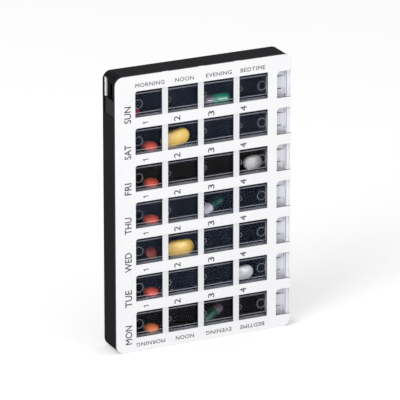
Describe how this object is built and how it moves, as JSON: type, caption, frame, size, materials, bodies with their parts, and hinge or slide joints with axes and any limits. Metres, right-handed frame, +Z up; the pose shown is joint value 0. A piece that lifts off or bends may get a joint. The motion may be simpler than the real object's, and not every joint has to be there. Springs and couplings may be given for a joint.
{
  "type": "weekly pill box",
  "caption": "Flat upright case with a windowed white cover, pull-out clear trays of cells with sliding lids, and a side lock slide.",
  "frame": {"origin": "middle of the bottom edge face that the box stands on", "axes": "+Z up along the longest side, the windows face -Y, +X towards the trays' grip ends"},
  "size_m": [0.131, 0.021, 0.196],
  "materials": {
    "black_shell": "fine moulded grain",
    "white_cover": "satin",
    "white_indicator": "satin",
    "black_lock": "satin",
    "clear_tray": "clear, polished",
    "clear_lid": "clear, polished",
    "red_tablet": "film coated",
    "orange_tablet": "film coated",
    "yellow_tablet": "film coated",
    "white_tablet": "film coated",
    "green_gelatine": "gelatine gloss",
    "white_gelatine": "gelatine gloss"
  },
  "bodies": {
    "case": {"back_case": "black_shell", "front_cover": "white_cover", "cover_rail": "black_shell", "cover_hooks": "black_shell", "lock_indicator": "white_indicator"},
    "lock_slide": {"lock_bar": "black_lock", "lock_teeth": "black_lock", "lock_grip": "black_lock"},
    "monday_tray": {"tray_monday": "clear_tray", "tray_catch_monday": "clear_tray", "round_tablet_monday": "orange_tablet", "capsule_cap_monday": "green_gelatine", "capsule_body_monday": "white_gelatine"},
    "monday_lid": {"lid_monday": "clear_lid"},
    "tuesday_tray": {"tray_tuesday": "clear_tray", "tray_catch_tuesday": "clear_tray", "round_tablet_tuesday": "red_tablet", "oval_tablet_tuesday": "white_tablet"},
    "tuesday_lid": {"lid_tuesday": "clear_lid"},
    "wednesday_tray": {"tray_wednesday": "clear_tray", "tray_catch_wednesday": "clear_tray", "round_tablet_wednesday": "red_tablet", "oblong_tablet_wednesday": "yellow_tablet"},
    "wednesday_lid": {"lid_wednesday": "clear_lid"},
    "thursday_tray": {"tray_thursday": "clear_tray", "tray_catch_thursday": "clear_tray", "round_tablet_thursday": "red_tablet", "capsule_cap_thursday": "green_gelatine", "capsule_body_thursday": "white_gelatine"},
    "thursday_lid": {"lid_thursday": "clear_lid"},
    "friday_tray": {"tray_friday": "clear_tray", "tray_catch_friday": "clear_tray", "round_tablet_friday": "red_tablet", "oval_tablet_friday": "white_tablet"},
    "friday_lid": {"lid_friday": "clear_lid"},
    "saturday_tray": {"tray_saturday": "clear_tray", "tray_catch_saturday": "clear_tray", "round_tablet_saturday": "red_tablet", "oblong_tablet_saturday": "yellow_tablet"},
    "saturday_lid": {"lid_saturday": "clear_lid"},
    "sunday_tray": {"tray_sunday": "clear_tray", "tray_catch_sunday": "clear_tray", "round_tablet_sunday": "red_tablet", "capsule_cap_sunday": "green_gelatine", "capsule_body_sunday": "white_gelatine"},
    "sunday_lid": {"lid_sunday": "clear_lid"}
  },
  "joints": [
    {"name": "lock_travel", "type": "slide", "parent": "case", "child": "lock_slide", "axis": [0, 0, 1], "range_m": [0, 0.0133]},
    {"name": "monday_tray_pull", "type": "slide", "parent": "case", "child": "monday_tray", "axis": [1, 0, 0], "range_m": [0, 0.127]},
    {"name": "monday_lid_slide", "type": "slide", "parent": "monday_tray", "child": "monday_lid", "axis": [1, 0, 0], "range_m": [0, 0.105]},
    {"name": "tuesday_tray_pull", "type": "slide", "parent": "case", "child": "tuesday_tray", "axis": [1, 0, 0], "range_m": [0, 0.127]},
    {"name": "tuesday_lid_slide", "type": "slide", "parent": "tuesday_tray", "child": "tuesday_lid", "axis": [1, 0, 0], "range_m": [0, 0.105]},
    {"name": "wednesday_tray_pull", "type": "slide", "parent": "case", "child": "wednesday_tray", "axis": [1, 0, 0], "range_m": [0, 0.127]},
    {"name": "wednesday_lid_slide", "type": "slide", "parent": "wednesday_tray", "child": "wednesday_lid", "axis": [1, 0, 0], "range_m": [0, 0.105]},
    {"name": "thursday_tray_pull", "type": "slide", "parent": "case", "child": "thursday_tray", "axis": [1, 0, 0], "range_m": [0, 0.127]},
    {"name": "thursday_lid_slide", "type": "slide", "parent": "thursday_tray", "child": "thursday_lid", "axis": [1, 0, 0], "range_m": [0, 0.105]},
    {"name": "friday_tray_pull", "type": "slide", "parent": "case", "child": "friday_tray", "axis": [1, 0, 0], "range_m": [0, 0.127]},
    {"name": "friday_lid_slide", "type": "slide", "parent": "friday_tray", "child": "friday_lid", "axis": [1, 0, 0], "range_m": [0, 0.105]},
    {"name": "saturday_tray_pull", "type": "slide", "parent": "case", "child": "saturday_tray", "axis": [1, 0, 0], "range_m": [0, 0.127]},
    {"name": "saturday_lid_slide", "type": "slide", "parent": "saturday_tray", "child": "saturday_lid", "axis": [1, 0, 0], "range_m": [0, 0.105]},
    {"name": "sunday_tray_pull", "type": "slide", "parent": "case", "child": "sunday_tray", "axis": [1, 0, 0], "range_m": [0, 0.127]},
    {"name": "sunday_lid_slide", "type": "slide", "parent": "sunday_tray", "child": "sunday_lid", "axis": [1, 0, 0], "range_m": [0, 0.105]}
  ]
}
